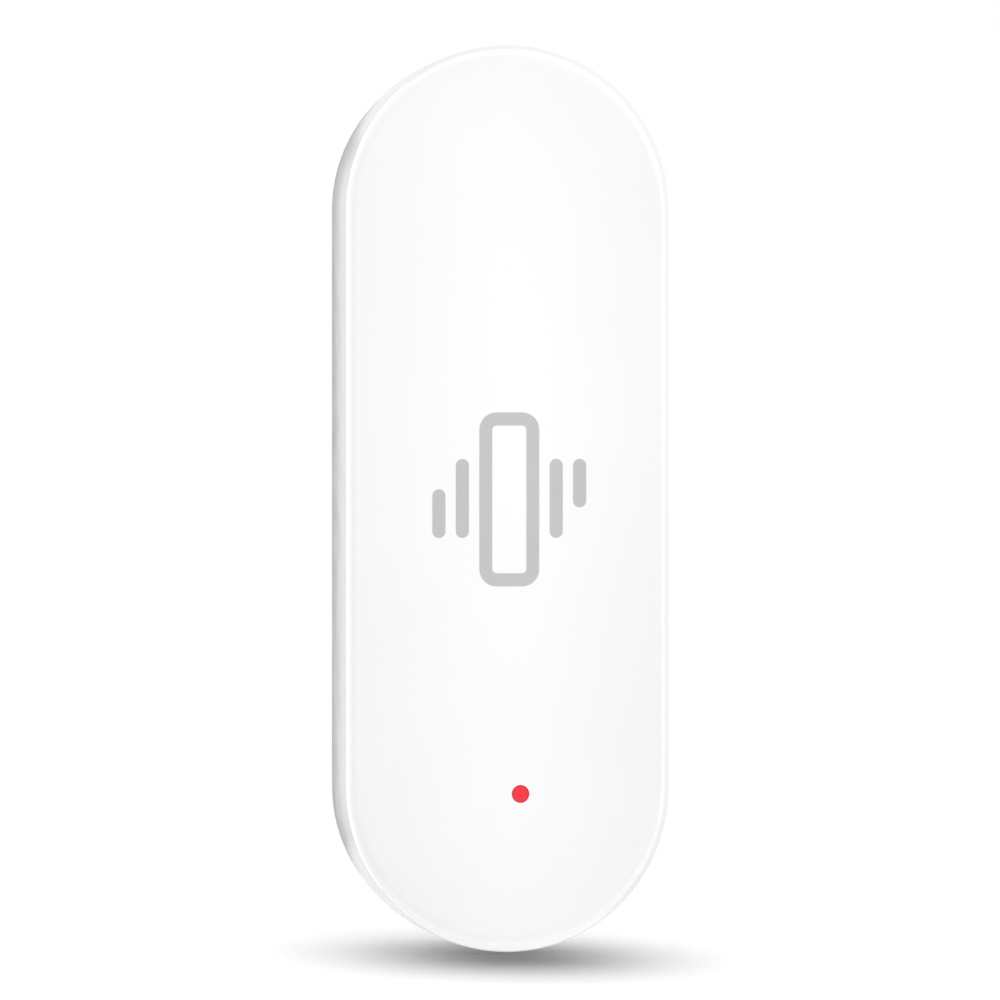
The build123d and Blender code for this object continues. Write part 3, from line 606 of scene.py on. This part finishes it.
bm = bmesh.new()
for low, high in chips:
    middle, size = (low + high) / 2, high - low
    room = (CHIP_ROOM_ALONG, CHIP_ROOM_ACROSS)
    room_x, room_z = room if size.x > size.z else reversed(room)
    ink_frame(bm, (middle.x, middle.z), size.x + room_x, size.z + room_z, CHIP_FRAME_RADIUS)
for node, across, up in piece_frames:
    low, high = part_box(node)
    ink_frame(
        bm, ((low.x + high.x) / 2, (low.z + high.z) / 2), high.x - low.x + 2 * across * MM,
        high.z - low.z + 2 * up * MM, PIECE_FRAME_RADIUS,
    )
for dx, dz in ((PLUS_ARM, 0), (0, PLUS_ARM)):
    ends = [(PLUS_X - dx, PLUS_Z - dz), (PLUS_X + dx, PLUS_Z + dz)]
    line(bm, ends, INK_WIDTH, BOARD_Y, INK_RISE)
ink_frame(bm, SCREW_RING_MIDDLE, SCREW_RING_SIZE, SCREW_RING_SIZE, SCREW_RING_RADIUS, steps=8)
for end, z, y in (
    (MODULE_EDGE, UNDER_MODULE, BOARD_Y), (ANTENNA_LINE_END, ANTENNA_LINE_Z, MODULE_HIGH.y),
):
    line(bm, [(-end, z), (end, z)], INK_WIDTH, y, INK_RISE)
dot(bm, PIN_DOT_X, PIN_DOT_Z, PIN_DOT_RADIUS, MODULE_HIGH.y, INK_RISE)
finish_piece(bm, "board_ink", ink, "front")

# Plus sign etched into the cell
CAN_LOW, CAN_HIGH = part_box("cell_can")
CELL_X, CELL_Z = (CAN_LOW.x + CAN_HIGH.x) / 2 / MM, (CAN_LOW.z + CAN_HIGH.z) / 2 / MM
CELL_PLUS_UP, CELL_PLUS_ARM = 4.6, 1.5      # mm
CELL_PLUS_WIDTH = 0.42 * MM
CELL_PLUS_SINK, CELL_PLUS_RISE = 0.01 * MM, 0.018 * MM

etched = plated("etched_nickel", (0.3, 0.3, 0.29), 0.5)
bm = bmesh.new()
for dx, dz in ((CELL_PLUS_ARM, 0), (0, CELL_PLUS_ARM)):
    ends = [
        (CELL_X - dx, CELL_Z + CELL_PLUS_UP - dz), (CELL_X + dx, CELL_Z + CELL_PLUS_UP + dz),
    ]
    line(bm, ends, CELL_PLUS_WIDTH, CAN_HIGH.y - CELL_PLUS_SINK, CELL_PLUS_RISE)
finish_piece(bm, "cell_plus_mark", etched, "front")

# Crease pressed round the radio shield
SHIELD_LOW, SHIELD_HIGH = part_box("radio_shield")
CREASE_INSET = 0.9 * MM         # both sides together
CREASE_RADIUS, CREASE_STROKE = 0.5 * MM, 0.16 * MM
CREASE_SINK, CREASE_RISE = 0.01 * MM, 0.035 * MM

shield_middle = ((SHIELD_LOW.x + SHIELD_HIGH.x) / 2, (SHIELD_LOW.z + SHIELD_HIGH.z) / 2)
bm = bmesh.new()
printed_frame(
    bm, shield_middle, SHIELD_HIGH.x - SHIELD_LOW.x - CREASE_INSET,
    SHIELD_HIGH.z - SHIELD_LOW.z - CREASE_INSET, CREASE_RADIUS, CREASE_STROKE,
    SHIELD_HIGH.y - CREASE_SINK, CREASE_RISE, steps=6,
)
finish_piece(bm, "shield_crease", materials["steel"], "front")

# Button's steel dome: a spun cap that the plunger flattens
DOME_LOW, DOME_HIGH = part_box("button_dome")
DOME_WALL = 0.08 * MM
DOME_STEPS, DOME_TURNS = 12, 40
DOME_FALL = 1.4                 # 1 would be a quarter of an ellipse

dome_middle, dome_radius = (DOME_LOW + DOME_HIGH) / 2, (DOME_HIGH.x - DOME_LOW.x) / 2
dome_rise = DOME_HIGH.y - DOME_LOW.y
bm = bmesh.new()
arcs = []
for inset in (0, DOME_WALL):
    turns = [radians(90 * step / DOME_STEPS) for step in range(DOME_STEPS + 1)]
    arcs.append([
        bm.verts.new((
            dome_middle.x + sin(turn) * (dome_radius - inset),
            DOME_LOW.y + cos(turn) ** DOME_FALL * (dome_rise - inset), dome_middle.z,
        )) for turn in turns
    ])
outer, inner = arcs
for start, end in [*zip(outer, outer[1:]), *zip(inner, inner[1:]), (outer[-1], inner[-1])]:
    bm.edges.new((start, end))
bmesh.ops.spin(
    bm, geom=list(bm.verts) + list(bm.edges), cent=dome_middle, axis=(0, 1, 0),
    angle=radians(360), steps=DOME_TURNS, use_merge=True,
)
dome = finish_piece(bm, "pressed_dome", materials["steel"], "front", smooth=True)
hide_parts("button_dome")
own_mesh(dome)

# Marks that the mould's ejector pins leave inside the cover
COVER_INSIDE = -1.8 * MM
MARK_SIZE, MARK_RADIUS, MARK_STROKE = 2.6 * MM, 1.29 * MM, 0.09 * MM
MARK_RISE = -0.03 * MM
ejector_marks = ((-6.5, 27), (6.5, 27), (-6.5, -25), (6.5, -25), (0, -19), (0, 31))     # mm

bm = bmesh.new()
for x, z in ejector_marks:
    printed_frame(
        bm, (x * MM, z * MM), MARK_SIZE, MARK_SIZE, MARK_RADIUS, MARK_STROKE, COVER_INSIDE,
        MARK_RISE, steps=8,
    )
finish_piece(bm, "cover_ejector_marks", materials["cover"], "back")

# Floor, background and light
# The camera, mirrors and glass see a white background. The tag is lit by an even room, darker
# behind it on its left, and by a faint glow on the middle of its face. Three lights show only in
# reflections. A ring before the tag, turned to the left, and a panel at its left give the gleam
# along the rounded edges, and a panel below it lights the lower edge. A grey card stands behind
# the tag, out of the camera's sight: its reflection shades the tag's left side. The floor doesn't
# show in reflections.
ROOM_LIGHT = 1.02
ROOM_SHADE = 0.75               # the room's light where it is darkest
SHADE_SIDE = (-0.6, 0.8, 0)     # towards the darkest part: behind the tag, on its left
SHADE_STOPS = (-0.1, 0.6)       # how far that way the light starts and stops to fall
LIGHT_DISTANCE = 0.5            # of the ring and the panels
RING_LIGHT = 3.0
RING_FROM, RING_TO = radians(48), radians(82)   # off the ring's axis
RING_TURN = radians(15)         # the axis points in front of the tag, this far to its left
SIDE_LIGHT = 5.0
SIDE_TURN = radians(65)         # left of the tag and a little behind it
SIDE_SIZE = (0.5, 1.4)
LOW_LIGHT = 4.0
LOW_SIZE = (1.0, 0.8)
LOW_FORWARD = -0.15             # from under the tag to the panel's centre
GLOW_POWER = 0.00067            # watts; the lamp is small and close to the face
GLOW_FORWARD = 13 * MM          # before the front
GLOW_SIZE = (7 * MM, 71 * MM)
FLOOR_WHITE = 0.9
FLOOR_SLOPE = radians(4.1)      # falls towards the front, so that the shadow shows as an ellipse
FLOOR_DROP = 0.2 * MM           # clears the bowed underside
FLOOR_RADIUS = 50 * MM
FLOOR_FORWARD = -18 * MM        # from under the tag to the floor's centre
FLOOR_GLOW = 0.67               # the seen floor's own white
FLOOR_SHARE = 0.45              # and its share of the real light
EDGE_BACK = 0.85 * MM           # from the front to where the rounded lower edge starts
# Painted shadow on the floor: how dark it gets, where its middle is, and how far it spreads
SHADOW_DEPTH = 0.79
SHADOW_PLACE = (-0.5 * MM, -2.8 * MM)   # from the tag's lower front edge
SHADOW_SPREAD = (8.6 * MM, 10.7 * MM)   # standard deviations across and along the view
CARD_CORNERS = (                # mm, across and up
    (-19, -36), (0, -36), (8, -8), (42, -8), (42, 8), (8, 8), (0, 38), (-19, 38),
)
CARD_Y = 75 * MM
CARD_GREY = 0.03
ROUND_STEPS = 96                # of the floor and the ring


def seen_by(owner):
    """1 for the camera, mirrors and glass; 0 for light that spreads."""
    path = add_node(owner, "ShaderNodeLightPath")
    seen = path.outputs["Is Camera Ray"]
    for name in ("Is Glossy Ray", "Is Transmission Ray"):
        seen = combine(owner, "MAXIMUM", seen, path.outputs[name])
    return seen


def combine(owner, operation, first, second):
    """A maths node; each value is a socket or a number."""
    node = add_node(owner, "ShaderNodeMath", operation=operation)
    for socket, value in zip(node.inputs, (first, second)):
        if isinstance(value, (int, float)):
            socket.default_value = value
        else:
            link(owner, value, socket)
    return node.outputs["Value"]


def stage_paint(name, grey, glow=0.0):
    """A dull paint, which shines by itself if a glow is given."""
    paint = new_material(name, (grey, grey, grey), 1.0)
    shader(paint).inputs["Specular IOR Level"].default_value = 0.0
    shader(paint).inputs["Emission Color"].default_value = (1, 1, 1, 1)
    shader(paint).inputs["Emission Strength"].default_value = glow
    return paint


def stage_piece(bm, name, material):
    """Turn a bmesh into a piece of the stage, which isn't part of the tag."""
    mesh = bpy.data.meshes.new(name)
    bm.to_mesh(mesh)
    bm.free()
    mesh.materials.append(material)
    piece = bpy.data.objects.new(name, mesh)
    scene.collection.objects.link(piece)
    return piece


lower_front = Vector((0, FRONT_Y + EDGE_BACK, cad_bounds[0][2] - FLOOR_DROP))


def shadow(material):
    """The tag's shadow painted on the floor as a soft bell: 1 in the open, darkest close in front
    of the tag.
    """
    place = add_node(material, "ShaderNodeTexCoord")
    across, along = SHADOW_SPREAD
    centre_x, centre_y = SHADOW_PLACE[0] + lower_front.x, SHADOW_PLACE[1] + lower_front.y
    from_centre = add_node(
        material, "ShaderNodeMapping", Scale=(1 / across, 1 / along, 0),
        Location=(-centre_x / across, -centre_y / along, 0),
    )
    link(material, place.outputs["Object"], from_centre.inputs["Vector"])
    square = add_node(material, "ShaderNodeVectorMath", operation="DOT_PRODUCT")
    for socket in square.inputs[:2]:
        link(material, from_centre.outputs["Vector"], socket)
    fall = combine(material, "MULTIPLY", square.outputs["Value"], -0.5)
    bell = combine(material, "POWER", EULER, fall)
    return combine(material, "SUBTRACT", 1, combine(material, "MULTIPLY", bell, SHADOW_DEPTH))


# Seen floor: partly its own glow, partly lit with the real shadow, both darkened by the painted
# shadow; other light meets plain white
floor_paint = stage_paint("floor_white", FLOOR_WHITE)
seen, shade = seen_by(floor_paint), shadow(floor_paint)
tint = add_node(floor_paint, "ShaderNodeCombineXYZ")
lit = combine(floor_paint, "MULTIPLY", combine(floor_paint, "MULTIPLY", shade, FLOOR_SHARE), seen)
unseen = combine(floor_paint, "SUBTRACT", 1, seen)
grey = combine(floor_paint, "ADD", lit, combine(floor_paint, "MULTIPLY", unseen, FLOOR_WHITE))
for socket in tint.inputs:
    link(floor_paint, grey, socket)
link(floor_paint, tint.outputs["Vector"], shader(floor_paint).inputs["Base Color"])
glow = combine(floor_paint, "MULTIPLY", combine(floor_paint, "MULTIPLY", seen, shade), FLOOR_GLOW)
link(floor_paint, glow, shader(floor_paint).inputs["Emission Strength"])

bm = bmesh.new()
floor_place = Matrix.Translation(lower_front) @ Matrix.Rotation(FLOOR_SLOPE, 4, "X")
bmesh.ops.create_circle(
    bm, cap_ends=True, segments=ROUND_STEPS, radius=FLOOR_RADIUS,
    matrix=floor_place @ Matrix.Translation((0, FLOOR_FORWARD, 0)),
)
stage_piece(bm, "studio_floor", floor_paint).visible_glossy = False

bm = bmesh.new()
bm.faces.new([bm.verts.new((x * MM, CARD_Y, z * MM)) for x, z in CARD_CORNERS])
card = stage_piece(bm, "studio_card", stage_paint("card_grey", CARD_GREY))
card.visible_camera = False

ring_bm = bmesh.new()
ring_y = FRONT_Y - LIGHT_DISTANCE * (cos(RING_FROM) + cos(RING_TO)) / 2
ring_place = Matrix.Rotation(-RING_TURN, 4, "Z") @ Matrix.Translation((0, ring_y, 0)) @ UPRIGHT
bmesh.ops.create_cone(
    ring_bm, segments=ROUND_STEPS, radius1=LIGHT_DISTANCE * sin(RING_TO),
    radius2=LIGHT_DISTANCE * sin(RING_FROM),
    depth=LIGHT_DISTANCE * (cos(RING_FROM) - cos(RING_TO)), matrix=ring_place,
)
side_bm = bmesh.new()
side_turn = Matrix.Rotation(SIDE_TURN, 4, "Z") @ UPRIGHT
flat_sheet(side_bm, side_turn @ Matrix.Translation((0, 0, -LIGHT_DISTANCE)), *SIDE_SIZE)
low_bm = bmesh.new()
flat_sheet(low_bm, Matrix.Translation((0, LOW_FORWARD, -LIGHT_DISTANCE)), *LOW_SIZE)
for light_bm, name, strength in (
    (ring_bm, "studio_ring", RING_LIGHT), (side_bm, "studio_side_light", SIDE_LIGHT),
    (low_bm, "studio_low_light", LOW_LIGHT),
):
    gleam = stage_piece(light_bm, name, stage_paint(name, 0, strength))
    gleam.visible_camera = False
    gleam.visible_diffuse = False

world = bpy.data.worlds.new("studio")
scene.world = world
world.use_nodes = True
background = world.node_tree.nodes["Background"]
background.inputs["Color"].default_value = (1, 1, 1, 1)
choose = add_node(world, "ShaderNodeMix")
link(world, seen_by(world), choose.inputs["Factor"])
place = add_node(world, "ShaderNodeTexCoord")
towards = add_node(world, "ShaderNodeVectorMath", operation="DOT_PRODUCT")
towards.inputs[1].default_value = SHADE_SIDE
link(world, place.outputs["Generated"], towards.inputs[0])
room = spread(world, towards.outputs["Value"], SHADE_STOPS, (ROOM_LIGHT, ROOM_SHADE))
link(world, room, choose.inputs["A"])
choose.inputs["B"].default_value = 1.0
link(world, choose.outputs["Result"], background.inputs["Strength"])

face_glow = bpy.data.lights.new("face_glow", "AREA")
face_glow.shape = "RECTANGLE"
face_glow.size, face_glow.size_y = GLOW_SIZE
face_glow.energy = GLOW_POWER
holder = bpy.data.objects.new("face_glow", face_glow)
holder.location = (0, FRONT_Y - GLOW_FORWARD, 0)
holder.rotation_euler = UPRIGHT.to_euler()
holder.visible_camera = False
holder.visible_glossy = False
scene.collection.objects.link(holder)

camera = bpy.data.cameras.new("camera")
camera.sensor_fit = "HORIZONTAL"
camera.sensor_width = 36
camera.lens = camera.sensor_width * CAMERA_DISTANCE / VIEW_HEIGHT
camera.clip_end = 10
camera.shift_x = VIEW_SHIFT_X
camera.shift_y = VIEW_SHIFT_Y
holder = bpy.data.objects.new("camera", camera)
aim = Vector((0, FRONT_Y, MIDDLE_Z))
level = cos(CAMERA_PITCH)
way = Vector((-sin(CAMERA_TURN) * level, -cos(CAMERA_TURN) * level, sin(CAMERA_PITCH)))
holder.location = aim + CAMERA_DISTANCE * way
holder.rotation_euler = (-way).to_track_quat("-Z", "Y").to_euler()
scene.collection.objects.link(holder)
scene.camera = holder
scene.view_settings.view_transform = "Standard"
